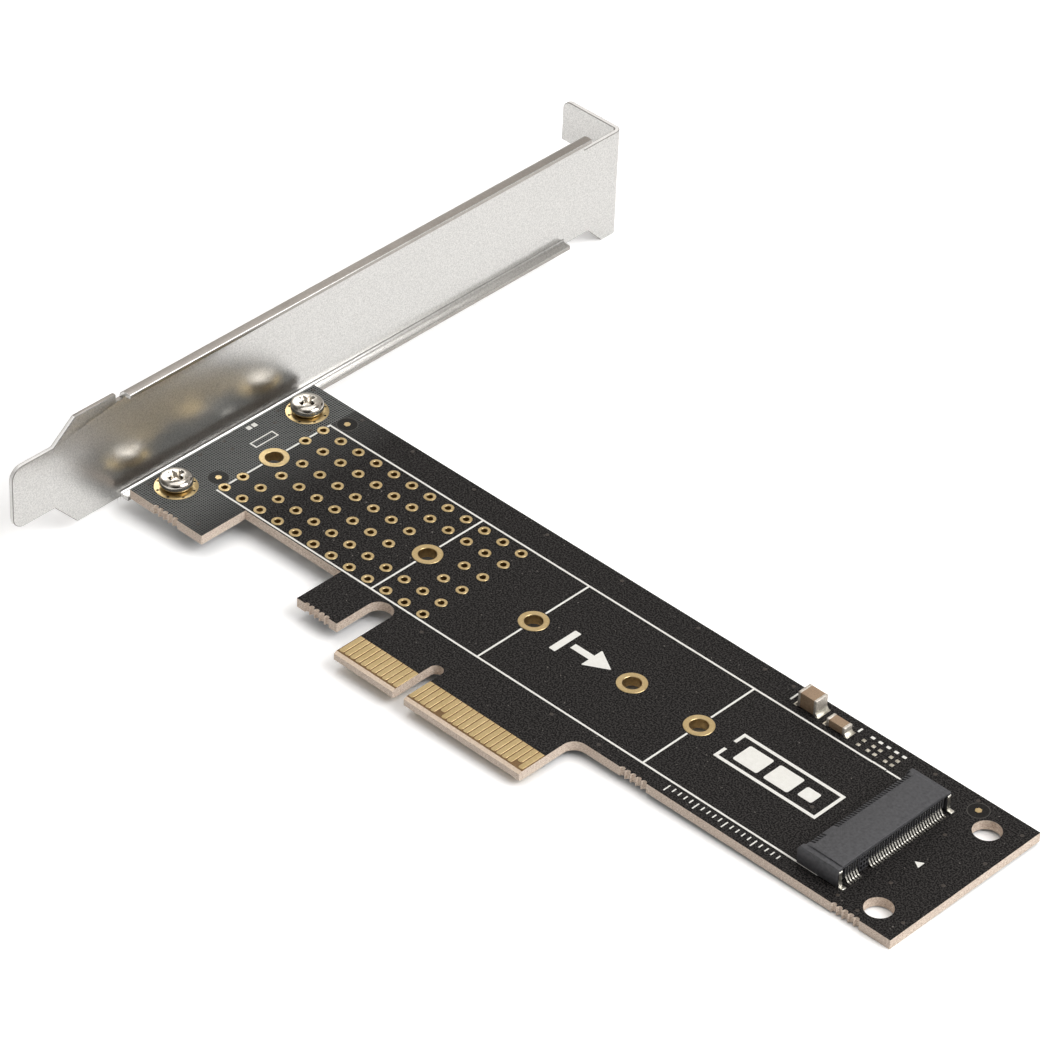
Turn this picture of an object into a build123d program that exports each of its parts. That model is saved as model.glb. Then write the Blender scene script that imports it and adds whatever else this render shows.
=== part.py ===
import os

from build123d import *

os.makedirs("parts", exist_ok=True)

# Adapter card that carries a flat solid-state drive in a computer's expansion slot, in millimetres.
# X runs along the card, away from the slot bracket. Y runs up, out of the expansion slot.
# Z points out of the component side. The origin is the middle of the key notch, on the tongue's
# lower edge, in the face that carries the components.

# Circuit board
board_thickness = 1.5
board_end_near = -56.65    # edge beside the bracket
board_past_drive = 14.7    # length past the drive's seated end, for the socket and the fixing holes
board_top = 39.8
board_bottom = 10.35       # lower edge between the tongue and the far end
recess_edge = 12.7         # lower edge between the foot and the retention tab
foot_edge = 4.45           # lower edge of the foot below the lower bracket screw
foot_width = 14.35

# Tongue that enters the slot
tongue_left = -12.05
tongue_right = 22.1
key_width = 2.1
key_height = 8.1
bevel_run = 0.5
bevel_drop = 0.25
corner_radius = 2.0
straight_rest = 0.01       # straight piece left beside a corner rounded to its full length
relief_width = 4.0         # round-ended cut between the tongue and the retention tab
relief_top = 12.45
tab_width = 7.6            # retention tab that a slot's latch holds

# Broken-out bridges along the lower edges
bite_radius = 0.4
bite_pitch = 0.95
bite_count = 5
bite_past_tongue = 10.5    # from the tongue to the bite beside it
bite_inset = 7.45          # from the board's far end to the last bite

# Edge contacts
contact_pitch = 1.0
contact_width = 0.76
contact_top = 4.9
contact_start = 0.75       # lower end of a long contact
short_start = 1.65         # lower end of a short contact
contact_key_gap = 1.5      # from the key's middle to the first contact on each side
contacts_left = 11
contacts_right = 21
short_contacts = [5, 19]   # counted from the key, on the long side
copper = 0.05

# Drive posts and thermal vias, measured from the drive's seated end
drive_end = 61.75          # x where the drive's contact edge stops in its socket
drive_axis = 23.9          # y of the drive's centre line
drive_lengths = [110, 80, 60, 42, 30]
post_pad_radius = 2.15
post_bore_radius = 1.3
via_radius = 0.88
via_bore_radius = 0.44
via_flats = 6
via_pitch = 3.5
via_first = -48.05
via_columns = 12
via_axis = 23.71
via_rows = [9.5, 6.0, -6.0, -9.5]
short_rows = [2.0, -2.0]
short_row_columns = [1, 2, 3, 4, 5, 6, 7, 10, 11]

# Fixing holes at the far end
far_hole_radius = 2.0
far_hole_inset = 5.0
far_hole_spacing = 21.2
far_hole_middle = 24.55

# Bracket sheet
sheet = 0.7
bend_inside = 0.5
face_gap = 1.8             # from the bracket's face to the edge of the board
bracket_length = 120.02
bracket_bottom = -15.15    # end of the lip
body_low = -board_thickness - sheet
body_high = 15.6
head_width = 18.42
head_drop = 3.25           # the head hangs this much lower than the body
head_chamfer = 3.2
head_length = 6.57         # from the start of the head's chamfer to the flange
lip_width = 10.19          # narrow tongue at the bottom of the bracket
lip_low = 2.15
lip_length = 7.5
lip_radius = 2.0
taper_length = 4.0
rib_depth = 1.5
upper_rib_start = 8.65     # from the end of the taper
upper_rib_stop = 8.27      # from the flange
lower_rib_start = 7.95
lower_rib_stop = 11.97
relief_cut = 1.2
flange_depth = 11.43
flange_radius = 1.5
slot_width = 4.42
slot_centre = 6.35         # from the bracket's face

# Bracket screws and the ears under the board that they enter
screw_inset = 3.8          # from the board's near edge
screw_heights = {"lower": 9.6, "upper": 34.75}
screw_head_radius = 2.4
screw_head_height = 1.9
screw_crown_drop = 0.9     # the head's side ends this far below its top
screw_crown_radius = 1.4   # flat middle of the head
screw_shoulder_radius = 2.1
screw_shoulder_drop = 0.35
screw_shank_radius = 1.25
screw_length = 4.0         # below the head
cross_length = 2.6
cross_width = 0.6
cross_depth = 1.1
cross_taper = 8            # degrees
screw_hole_radius = 1.5
screw_pad_radius = 3.1
thread_clearance = 0.02
ear_width = 8.0
ear_reach = 3.6            # past the screw's axis
ear_radius = 1.5
collar_radius = 2.1
collar_height = 0.9

# Drive socket, in distances from the drive's seated end and centre line
socket_height = 3.2
cover_margin = 0.95        # from the outermost upper contact to the end of the cover
end_width = 0.75           # width of each end cap
jaw_front = 3.3
cover_front = 1.75
comb_front = 2.65
socket_back = 3.6
socket_foot = 3.0          # back of the housing at the board
mouth_low = 1.2
mouth_high = 2.2
mouth_depth = 0.2          # the drive's edge stops this far short of the mouth's end
cover_lip = 0.5            # thickness of the cover's rear edge
waist_height = 1.6         # where the back stops sloping in under the cover
comb_slot = 0.25
comb_bevel = 0.3
end_height = 2.95
end_bevel_run = 0.4
end_bevel_drop = 0.6
key_place = 6.5            # counted in pin pitches from the first upper contact
key_rib = 1.1
pin_pitch = 0.5
pin_width = 0.2
pin_thickness = 0.15
pin_reach = 0.8            # length of a solder foot past the housing
pin_tip = 0.3              # length of an upper contact in front of the cover
pin_lean = 0.25            # how far an upper contact's leg slopes out towards its foot
pin_stop = 0.3             # the lower contacts end this far in front of the drive's edge
pin_places = 38
upper_pins = [place for place in range(pin_places) if place not in range(5, 9)]
lower_pins = [place + 0.5 for place in range(pin_places - 1) if place not in range(4, 8)]
peg_offset = 8.6
peg_radii = {peg_offset: 0.55, -peg_offset: 0.8}
peg_back = 0.5
peg_length = 1.2
peg_clearance = 0.05
hold_down_width = 0.7
hold_down_top = 2.6

# Ceramic capacitors: length, width, height, distance in front of the drive's seated end and
# distance of the centre from the board's top edge
capacitors = {
    "large_capacitor": (3.2, 2.4, 2.5, 22.2, 2.4),
    "small_capacitor": (3.2, 1.6, 1.3, 16.9, 3.1),
}
cap_end_length = 0.55
cap_end_skin = 0.06
solder_reach = 0.45
solder_height = 0.4        # as a share of the capacitor's height

# Spare pads for chips that this card leaves out: pairs that stand across the card
spare_pad_places = [12.95, 11.3, 10.15, 8.3, 7.2]    # in front of the drive's seated end
spare_pad_inset = 3.2      # from the board's top edge
spare_pad_spacing = 1.15
spare_pad_size = 0.55
spare_pad_height = 0.1

# Alignment dots, by their distances from the board's ends and edges
dot_radius = 0.5
dot_inset_lower = (6.4, 10.7)      # from the near end and the foot's edge
dot_inset_upper = (9.9, 3.15)      # from the near end and the top edge
dot_inset_far = (8.3, 2.45)        # from the far end and the top edge

# Places that several pieces share
board_end_far = drive_end + board_past_drive
foot_right = board_end_near + foot_width
tab_left = tongue_left - relief_width - tab_width
round_ended_cuts = [
    (0, key_width, key_height),
    (tongue_left - relief_width / 2, relief_width, relief_top),
]
bite_middles = [
    ((board_end_near + foot_right) / 2, foot_edge),
    (tab_left + tab_width / 2, foot_edge),
    (tongue_right + bite_past_tongue, board_bottom),
    (board_end_far - bite_inset, board_bottom),
]
face_x = board_end_near - face_gap
screw_x = board_end_near + screw_inset
head_low = body_low - head_drop
head_high = head_low + head_width
bracket_top = bracket_bottom + bracket_length
bend_outside = bend_inside + sheet
rib_tip = face_x + rib_depth
taper_start = bracket_bottom + lip_length
body_start = taper_start + taper_length
upper_rib = (body_start + upper_rib_start, bracket_top - upper_rib_stop)
lower_rib = (body_start + lower_rib_start, bracket_top - lower_rib_stop)
head_start = bracket_top - head_length
far_hole_x = board_end_far - far_hole_inset
screw_places = {side: (screw_x, height) for side, height in screw_heights.items()}
post_places = {length: (drive_end - length, drive_axis) for length in drive_lengths}
via_places = [
    (via_first + via_pitch * column, via_axis + row) for row in via_rows for column in range(via_columns)
] + [(via_first + via_pitch * column, via_axis + row) for row in short_rows for column in short_row_columns]
left_contacts = [-contact_key_gap - contact_pitch * place for place in range(contacts_left)]
right_contacts = [contact_key_gap + contact_pitch * place for place in range(contacts_right)]
peg_places = {offset: (drive_end + peg_back, drive_axis + offset) for offset in peg_radii}
pin_span = (pin_places - 1) * pin_pitch
cover_half = pin_span / 2 + cover_margin
socket_half = cover_half + end_width
first_pin = drive_axis - pin_span / 2
upper_pin_y = [first_pin + pin_pitch * place for place in upper_pins]
lower_pin_y = [first_pin + pin_pitch * place for place in lower_pins]
upper_pin_groups = [
    [y for y in upper_pin_y if y < first_pin + pin_pitch * key_place],
    [y for y in upper_pin_y if y > first_pin + pin_pitch * key_place],
]
dots = [
    (board_end_near + dot_inset_lower[0], foot_edge + dot_inset_lower[1]),
    (board_end_near + dot_inset_upper[0], board_top - dot_inset_upper[1]),
    (board_end_far - dot_inset_far[0], board_top - dot_inset_far[1]),
]


def save(piece, label):
    piece.part.label = label
    export_step(piece.part, f"parts/{label}.step")


def corners_at(x, y):
    """Corners at one place of the sketch in hand, in the sketch's own plane."""
    return vertices().filter_by(lambda v: abs(v.X - x) + abs(v.Y - y) < 0.001)


# Circuit board: the routed outline, the bevelled tongue and every hole
with BuildPart() as circuit_board:
    with BuildSketch(Plane.XY.offset(-board_thickness)):
        with BuildLine():
            Polyline(
                (board_end_near, foot_edge),
                (foot_right, foot_edge),
                (foot_right, recess_edge),
                (tab_left, recess_edge),
                (tab_left, foot_edge),
                (tongue_left, foot_edge),
                (tongue_left, 0),
                (tongue_right, 0),
                (tongue_right, board_bottom),
                (board_end_far, board_bottom),
                (board_end_far, board_top),
                (board_end_near, board_top),
                close=True,
            )
        make_face()
        fillet(corners_at(tongue_right, board_bottom), corner_radius)
        for middle, width, top in round_ended_cuts:
            with Locations((middle, 0)):
                Rectangle(width, top - width / 2, align=(Align.CENTER, Align.MIN), mode=Mode.SUBTRACT)
            with Locations((middle, top - width / 2)):
                Circle(width / 2, mode=Mode.SUBTRACT)
        for middle in bite_middles:
            with Locations(middle):
                with GridLocations(bite_pitch, 0, bite_count, 1):
                    RegularPolygon(bite_radius, 8, mode=Mode.SUBTRACT)
        with Locations(*via_places):
            RegularPolygon(via_radius, via_flats, mode=Mode.SUBTRACT)
        with Locations(*post_places.values()):
            Circle(post_pad_radius, mode=Mode.SUBTRACT)
        with Locations(*screw_places.values()):
            Circle(screw_hole_radius, mode=Mode.SUBTRACT)
        with Locations((far_hole_x, far_hole_middle)):
            with GridLocations(0, far_hole_spacing, 1, 2):
                Circle(far_hole_radius, mode=Mode.SUBTRACT)
        for offset, place in peg_places.items():
            with Locations(place):
                Circle(peg_radii[offset] + peg_clearance, mode=Mode.SUBTRACT)
    extrude(amount=board_thickness)
    with BuildSketch(Plane.YZ.offset(tongue_left)):
        with BuildLine():
            Polyline((0, 0), (bevel_run, 0), (0, -bevel_drop), close=True)
        make_face()
        with BuildLine():
            Polyline(
                (0, -board_thickness),
                (bevel_run, -board_thickness),
                (0, bevel_drop - board_thickness),
                close=True,
            )
        make_face()
    extrude(amount=tongue_right - tongue_left, mode=Mode.SUBTRACT)
save(circuit_board, "circuit_board")

# Edge contacts: plated copper on both faces of the tongue
for label, level in (("edge_contacts_front", 0), ("edge_contacts_rear", -board_thickness - copper)):
    with BuildPart() as edge_contacts:
        with BuildSketch(Plane.XY.offset(level)):
            for x in left_contacts + right_contacts:
                short = x in [right_contacts[place] for place in short_contacts]
                start = short_start if short and level == 0 else contact_start
                with Locations((x, start)):
                    Rectangle(contact_width, contact_top - start, align=(Align.CENTER, Align.MIN))
        extrude(amount=copper)
    save(edge_contacts, label)

# Thermal vias: plated tubes that carry the drive's heat through the board
with BuildPart() as thermal_vias:
    with BuildSketch(Plane.XY.offset(-board_thickness - copper)):
        with Locations(*via_places):
            RegularPolygon(via_radius, via_flats)
            RegularPolygon(via_bore_radius, via_flats, mode=Mode.SUBTRACT)
    extrude(amount=board_thickness + 2 * copper)
save(thermal_vias, "thermal_vias")

# Drive post eyelets, one for each length of drive
for length, place in post_places.items():
    with BuildPart() as post_eyelet:
        with BuildSketch(Plane.XY.offset(-board_thickness - copper)):
            with Locations(place):
                Circle(post_pad_radius)
                Circle(post_bore_radius, mode=Mode.SUBTRACT)
        extrude(amount=board_thickness + 2 * copper)
    save(post_eyelet, f"post_eyelet_{length}")

# Bracket screw pads: plated rings under the screw heads
for side, place in screw_places.items():
    with BuildPart() as screw_pad:
        with BuildSketch():
            with Locations(place):
                Circle(screw_pad_radius)
                Circle(screw_hole_radius, mode=Mode.SUBTRACT)
        extrude(amount=copper)
    save(screw_pad, f"screw_pad_{side}")

# Alignment dots
with BuildPart() as alignment_dots:
    with BuildSketch():
        with Locations(*dots):
            RegularPolygon(dot_radius, via_flats)
    extrude(amount=copper)
save(alignment_dots, "alignment_dots")

# Slot bracket: one folded sheet with two stiffening ribs, a mounting flange and two tapped ears
with BuildPart() as slot_bracket:
    lip_high = lip_low + lip_width
    with BuildSketch(Plane.YZ.offset(face_x - sheet)):
        with BuildLine():
            Polyline(
                (bracket_bottom, lip_low),
                (taper_start, lip_low),
                (body_start, body_low),
                (lower_rib[0], body_low),
                (lower_rib[0], body_low + bend_outside),
                (lower_rib[1], body_low + bend_outside),
                (lower_rib[1], body_low),
                (head_start, body_low),
                (head_start + head_chamfer, head_low),
                (bracket_top - bend_outside, head_low),
                (bracket_top - bend_outside, head_high),
                (upper_rib[1], head_high),
                (upper_rib[1], body_high - bend_outside),
                (upper_rib[0], body_high - bend_outside),
                (upper_rib[0] - relief_cut, body_high - bend_outside),
                (upper_rib[0] - relief_cut, body_high),
                (body_start, body_high),
                (taper_start, lip_high),
                (bracket_bottom, lip_high),
                close=True,
            )
        face = make_face()
        fillet(face.vertices().filter_by(lambda v: v.X == bracket_bottom), lip_radius)
    extrude(amount=sheet)
    for (start, end), corner, inward in ((upper_rib, body_high, -1), (lower_rib, body_low, 1)):
        with BuildSketch(Plane.XZ.offset(-end)):
            with BuildLine():
                Polyline(
                    (face_x - sheet, corner + inward * bend_outside),
                    (face_x - sheet, corner),
                    (rib_tip, corner),
                    (rib_tip, corner + inward * sheet),
                    (face_x, corner + inward * sheet),
                    (face_x, corner + inward * bend_outside),
                    close=True,
                )
            make_face()
            fillet(corners_at(face_x - sheet, corner), bend_outside - straight_rest)
            fillet(corners_at(face_x, corner + inward * sheet), bend_inside - straight_rest)
        extrude(amount=end - start)
    with BuildSketch(Plane.XY.offset(head_low)):
        with BuildLine():
            Polyline(
                (face_x, bracket_top - bend_outside),
                (face_x, bracket_top),
                (face_x - flange_depth, bracket_top),
                (face_x - flange_depth, bracket_top - sheet),
                (face_x - sheet, bracket_top - sheet),
                (face_x - sheet, bracket_top - bend_outside),
                close=True,
            )
        make_face()
        fillet(corners_at(face_x, bracket_top), bend_outside - straight_rest)
        fillet(corners_at(face_x - sheet, bracket_top - sheet), bend_inside - straight_rest)
    extrude(amount=head_width)
    flange_edges = slot_bracket.edges().filter_by(Axis.Y)
    flange_corners = flange_edges.filter_by(lambda e: e.center().X < face_x - slot_centre)
    fillet(flange_corners, flange_radius)
    with BuildSketch(Plane.XZ.offset(-bracket_top)):
        with Locations((face_x - slot_centre, (head_low + head_high) / 2)):
            Circle(slot_width / 2)
            Rectangle(flange_depth, slot_width, align=(Align.MAX, Align.CENTER))
    extrude(amount=sheet, mode=Mode.SUBTRACT)
    with BuildSketch(Plane.XY.offset(body_low)):
        for place in screw_places.values():
            with Locations((rib_tip, place[1])):
                Rectangle(screw_x + ear_reach - rib_tip, ear_width, align=(Align.MIN, Align.CENTER))
        fillet(vertices().group_by(Axis.X)[-1], ear_radius)
    extrude(amount=sheet)
    with BuildSketch(Plane.XY.offset(body_low)):
        with Locations(*screw_places.values()):
            Circle(collar_radius)
    extrude(amount=-collar_height)
    with BuildSketch(Plane.XY.offset(body_low - collar_height)):
        with Locations(*screw_places.values()):
            Circle(screw_shank_radius + thread_clearance)
    extrude(amount=collar_height + sheet, mode=Mode.SUBTRACT)
save(slot_bracket, "slot_bracket")

# Bracket screws: crowned heads with a cross recess
for side, place in screw_places.items():
    with BuildPart() as bracket_screw:
        with BuildSketch(Plane.XZ.offset(-place[1])):
            with BuildLine():
                Polyline(
                    (place[0], copper + screw_head_height),
                    (place[0], copper - screw_length),
                    (place[0] + screw_shank_radius, copper - screw_length),
                    (place[0] + screw_shank_radius, copper),
                    (place[0] + screw_head_radius, copper),
                    (place[0] + screw_head_radius, copper + screw_head_height - screw_crown_drop),
                    (place[0] + screw_shoulder_radius, copper + screw_head_height - screw_shoulder_drop),
                    (place[0] + screw_crown_radius, copper + screw_head_height),
                    close=True,
                )
            make_face()
        revolve(axis=Axis((place[0], place[1], 0), (0, 0, 1)))
        with BuildSketch(Plane.XY.offset(copper + screw_head_height)):
            with Locations(place):
                Rectangle(cross_length, cross_width)
                Rectangle(cross_width, cross_length)
        extrude(amount=-cross_depth, taper=cross_taper, mode=Mode.SUBTRACT)
    save(bracket_screw, f"bracket_screw_{side}")

# Drive socket housing: two jaws around the mouth, end caps, a key rib and two locating pegs
with BuildPart() as socket_housing:
    with BuildSketch(Plane.XZ.offset(-drive_axis - cover_half)):
        with BuildLine():
            Polyline(
                (drive_end - jaw_front, 0),
                (drive_end + socket_foot, 0),
                (drive_end + socket_foot, waist_height),
                (drive_end + socket_back, socket_height - cover_lip),
                (drive_end + socket_back, socket_height),
                (drive_end - cover_front, socket_height),
                (drive_end - comb_front, socket_height - comb_bevel),
                (drive_end - comb_front, mouth_high),
                (drive_end + mouth_depth, mouth_high),
                (drive_end + mouth_depth, mouth_low),
                (drive_end - jaw_front, mouth_low),
                close=True,
            )
        make_face()
    extrude(amount=2 * cover_half)
    with BuildSketch(Plane.XZ.offset(-drive_axis - socket_half), Plane.XZ.offset(-drive_axis + cover_half)):
        with BuildLine():
            Polyline(
                (drive_end - jaw_front, 0),
                (drive_end + socket_back, 0),
                (drive_end + socket_back, end_height),
                (drive_end - jaw_front + end_bevel_run, end_height),
                (drive_end - jaw_front, end_height - end_bevel_drop),
                close=True,
            )
        make_face()
    extrude(amount=socket_half - cover_half)
    with BuildSketch(Plane.XY.offset(mouth_low)):
        with Locations((drive_end + mouth_depth, first_pin + pin_pitch * key_place)):
            Rectangle(comb_front + mouth_depth, key_rib, align=(Align.MAX, Align.CENTER))
    extrude(amount=mouth_high - mouth_low)
    with BuildSketch(Plane.XY.offset(mouth_high - pin_thickness)):
        for group in upper_pin_groups:
            with Locations((drive_end + mouth_depth, (group[0] + group[-1]) / 2)):
                Rectangle(socket_back, group[-1] - group[0] + pin_pitch, align=(Align.MIN, Align.CENTER))
    extrude(amount=pin_thickness, mode=Mode.SUBTRACT)
    with BuildSketch(Plane.XY.offset(mouth_high)):
        with Locations(*[(drive_end - cover_front, y) for y in upper_pin_y]):
            Rectangle(comb_front, comb_slot, align=(Align.MAX, Align.CENTER))
    extrude(amount=socket_height - mouth_high, mode=Mode.SUBTRACT)
    for offset, place in peg_places.items():
        with BuildSketch(Plane.XY):
            with Locations(place):
                Circle(peg_radii[offset])
        extrude(amount=-peg_length)
save(socket_housing, "socket_housing")

# Socket contacts: the upper row is soldered behind the housing, the lower row in front of its mouth
with BuildPart() as socket_contacts_upper:
    with BuildSketch(*[Plane.XZ.offset(-y - pin_width / 2) for y in upper_pin_y]):
        with BuildLine():
            Polyline(
                (drive_end - cover_front - pin_tip, mouth_high),
                (drive_end + socket_back - pin_lean + pin_thickness, mouth_high),
                (drive_end + socket_back + pin_thickness, pin_thickness),
                (drive_end + socket_back + pin_reach, pin_thickness),
                (drive_end + socket_back + pin_reach, 0),
                (drive_end + socket_back, 0),
                (drive_end + socket_back - pin_lean, mouth_high - pin_thickness),
                (drive_end - cover_front, mouth_high - pin_thickness),
                close=True,
            )
        make_face()
    extrude(amount=pin_width)
save(socket_contacts_upper, "socket_contacts_upper")

with BuildPart() as socket_contacts_lower:
    with BuildSketch(*[Plane.XZ.offset(-y - pin_width / 2) for y in lower_pin_y]):
        with BuildLine():
            Polyline(
                (drive_end - jaw_front - pin_reach, 0),
                (drive_end - jaw_front, 0),
                (drive_end - jaw_front, mouth_low),
                (drive_end - pin_stop, mouth_low),
                (drive_end - pin_stop, mouth_low + pin_thickness),
                (drive_end - jaw_front - pin_thickness, mouth_low + pin_thickness),
                (drive_end - jaw_front - pin_thickness, pin_thickness),
                (drive_end - jaw_front - pin_reach, pin_thickness),
                close=True,
            )
        make_face()
    extrude(amount=pin_width)
save(socket_contacts_lower, "socket_contacts_lower")

# Hold-downs: soldered tabs at both ends of the socket
for label, direction in (("hold_down_lower", -1), ("hold_down_upper", 1)):
    middle = drive_axis + direction * (socket_half + cover_half) / 2
    with BuildPart() as hold_down:
        with BuildSketch(Plane.XZ.offset(-middle - hold_down_width / 2)):
            with BuildLine():
                Polyline(
                    (drive_end + socket_back, 0),
                    (drive_end + socket_back + pin_reach, 0),
                    (drive_end + socket_back + pin_reach, pin_thickness),
                    (drive_end + socket_back + 2 * pin_thickness, pin_thickness),
                    (drive_end + socket_back + pin_thickness, 2 * pin_thickness),
                    (drive_end + socket_back + pin_thickness, hold_down_top),
                    (drive_end + socket_back, hold_down_top),
                    close=True,
                )
            make_face()
        extrude(amount=hold_down_width)
    save(hold_down, label)

# Ceramic capacitors: a fired body, two metal end caps and the solder that holds them
for label, (length, width, height, before, inset) in capacitors.items():
    x = drive_end - before
    y = board_top - inset
    skin = cap_end_skin
    with BuildPart() as body:
        with BuildSketch(Plane.XY.offset(skin)):
            with Locations((x, y)):
                Rectangle(length - 2 * skin, width - 2 * skin)
        extrude(amount=height - 2 * skin)
    save(body, label)
    with BuildPart() as ends:
        with BuildSketch():
            with Locations((x, y)):
                Rectangle(length, width)
                Rectangle(length - 2 * cap_end_length, width, mode=Mode.SUBTRACT)
        extrude(amount=height)
        with BuildSketch(Plane.XY.offset(skin)):
            with Locations((x, y)):
                Rectangle(length - 2 * skin, width - 2 * skin)
        extrude(amount=height - 2 * skin, mode=Mode.SUBTRACT)
    save(ends, f"{label}_ends")
    with BuildPart() as solder:
        for side in (-1, 1):
            with BuildSketch(Plane.XZ.offset(-y - width / 2)):
                with BuildLine():
                    foot = x + side * length / 2
                    Polyline(
                        (foot, 0),
                        (foot + side * solder_reach, 0),
                        (foot + side * solder_reach / 3, solder_height * height / 2),
                        (foot, solder_height * height),
                        close=True,
                    )
                make_face()
            extrude(amount=width)
    save(solder, f"{label}_solder")

# Spare pads, tinned
with BuildPart() as spare_pads:
    with BuildSketch():
        with Locations(*[(drive_end - before, board_top - spare_pad_inset) for before in spare_pad_places]):
            with GridLocations(0, spare_pad_spacing, 1, 2):
                Rectangle(spare_pad_size, spare_pad_size)
    extrude(amount=spare_pad_height)
save(spare_pads, "spare_pads")
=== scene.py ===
# %% [markdown]
# # Dressing a drive adapter card
# This notebook gives the looks to a card that carries a flat solid-state drive in an expansion slot.
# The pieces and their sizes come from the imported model, which is loaded first and never changed.
# Everything is in metres, +X runs away from the slot bracket, +Y up out of the slot, and +Z out of
# the face that carries the components. Its frame is the card's own, so it lies here as if on a desk.

# %% Load the model
import math

import bmesh
import bpy
from mathutils import Matrix, Vector


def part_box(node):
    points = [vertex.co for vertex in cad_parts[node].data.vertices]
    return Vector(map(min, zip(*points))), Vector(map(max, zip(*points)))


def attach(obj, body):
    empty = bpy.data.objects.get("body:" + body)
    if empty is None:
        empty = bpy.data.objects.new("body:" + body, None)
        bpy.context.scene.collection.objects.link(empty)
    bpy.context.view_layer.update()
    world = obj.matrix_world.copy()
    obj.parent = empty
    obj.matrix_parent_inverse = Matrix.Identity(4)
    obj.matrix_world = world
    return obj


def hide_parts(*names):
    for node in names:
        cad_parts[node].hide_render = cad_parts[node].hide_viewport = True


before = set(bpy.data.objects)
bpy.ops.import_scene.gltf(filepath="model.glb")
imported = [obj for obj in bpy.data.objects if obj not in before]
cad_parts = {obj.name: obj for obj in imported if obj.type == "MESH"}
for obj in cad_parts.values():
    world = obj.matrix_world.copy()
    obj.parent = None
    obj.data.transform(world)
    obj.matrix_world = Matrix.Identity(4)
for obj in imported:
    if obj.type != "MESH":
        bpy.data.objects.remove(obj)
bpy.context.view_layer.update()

MM = 0.001
board_low, board_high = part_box("circuit_board")
back = board_low.z                           # height of the face without components
board_bottom_edge = 10.35 * MM

# %% [markdown]
# ## Where things are
# A learner could read every coordinate off the model by hand. It is safer to take the few that matter
# from the nodes themselves, because then the looks follow the part. The drive's seated end lies
# 80 mm from the eyelet that holds the post of an 80 mm drive, and most places are counted from it.

# %% Places taken from the nodes


def middle(node):
    low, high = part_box(node)
    return (low + high) / 2


drive_lengths = [110, 80, 60, 42, 30]
drive_end = middle("post_eyelet_80").x + 80 * MM
drive_axis = middle("post_eyelet_80").y
near_end = board_low.x
far_end = board_high.x
recess_edge = 12.7 * MM                      # lower edge between the foot and the retention tab
contact_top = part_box("edge_contacts_front")[1].y
print("the drive ends at x =", round(drive_end / MM, 2), "mm on the line y =", round(drive_axis / MM, 2))

# %% [markdown]
# ## Camera
# The photograph was taken from far off through a long lens, so the card's parallel edges stay nearly
# parallel. A camera fitted to the evenly spaced holes and contacts gave the place, the aim and the
# slight roll below. Aiming with `to_track_quat` and rolling afterwards keeps these numbers readable.

# %% Camera
camera_place = Vector((0.36854, -0.3800, 0.439288))
camera_aim = Vector((-0.013983, 0.038249, 0.0))
camera_roll = math.radians(2.443)
camera_data = bpy.data.cameras.new("camera")
camera_data.lens = 180.0
camera_data.sensor_width = 36.0
camera_data.clip_start = 0.01
camera_data.clip_end = 20.0
camera = bpy.data.objects.new("camera", camera_data)
bpy.context.scene.collection.objects.link(camera)
camera.location = camera_place
camera.rotation_mode = "QUATERNION"
aim = (camera_aim - camera_place).to_track_quat("-Z", "Y")
roll = Matrix.Rotation(camera_roll, 4, "Z").to_quaternion()
camera.rotation_quaternion = aim @ roll
bpy.context.scene.camera = camera
print("camera is", round((camera_aim - camera_place).length, 3), "m from what it looks at")

# %% [markdown]
# ## Helpers for nodes
# Math nodes, colour mixes, noise and ramps come up again and again below. Each helper makes one of them
# and gives back the output to go on with. The first two take either a number or another node's output
# for every input, so a sum of several steps reads from the inside out.

# %% Helpers for nodes


def maths(tree, operation, first, second=None, clamp=False):
    node = tree.nodes.new("ShaderNodeMath")
    node.operation = operation
    node.use_clamp = clamp
    for socket, value in zip(node.inputs, (first, second)):
        if value is None:
            continue
        if isinstance(value, (int, float)):
            socket.default_value = value
        else:
            tree.links.new(value, socket)
    return node.outputs[0]


def mixed(tree, factor, first, second, blend="MIX"):
    node = tree.nodes.new("ShaderNodeMix")
    node.data_type = "RGBA"
    node.blend_type = blend
    colours = [socket for socket in node.inputs if socket.type == "RGBA"]
    for socket, value in zip([node.inputs["Factor"]] + colours, (factor, first, second)):
        if isinstance(value, (tuple, float, int)):
            socket.default_value = value
        else:
            tree.links.new(value, socket)
    return [socket for socket in node.outputs if socket.type == "RGBA"][0]


def noise(tree, place, scale, detail):
    node = tree.nodes.new("ShaderNodeTexNoise")
    node.inputs["Scale"].default_value = scale
    node.inputs["Detail"].default_value = detail
    tree.links.new(place, node.inputs["Vector"])
    return node.outputs["Fac"]


def contrasted(tree, value, strength):
    spread = maths(tree, "MULTIPLY", maths(tree, "SUBTRACT", value, 0.5), strength)
    return maths(tree, "ADD", spread, 0.5, clamp=True)


def eased_ramp(tree, value, stops):
    node = tree.nodes.new("ShaderNodeValToRGB")
    node.color_ramp.interpolation = "EASE"
    marks_on_ramp = node.color_ramp.elements
    marks_on_ramp[0].position, marks_on_ramp[0].color = stops[0]
    marks_on_ramp[1].position, marks_on_ramp[1].color = stops[-1]
    for position, colour in stops[1:-1]:
        marks_on_ramp.new(position).color = colour
    tree.links.new(value, node.inputs["Fac"])
    return node.outputs["Color"]


print("helpers for nodes are ready")

# %% [markdown]
# ## Floor and light
# The card rests on three points: the bracket's head, the tip of the lower bracket screw and the
# board's far corner. A floor through those points gives the soft shadows that the photograph shows,
# wide near the bracket and narrow at the far end. The ground is white because its colour is white.
# Light Path adds a little for the camera and for reflections, so it stays white beyond the shadows.

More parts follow.
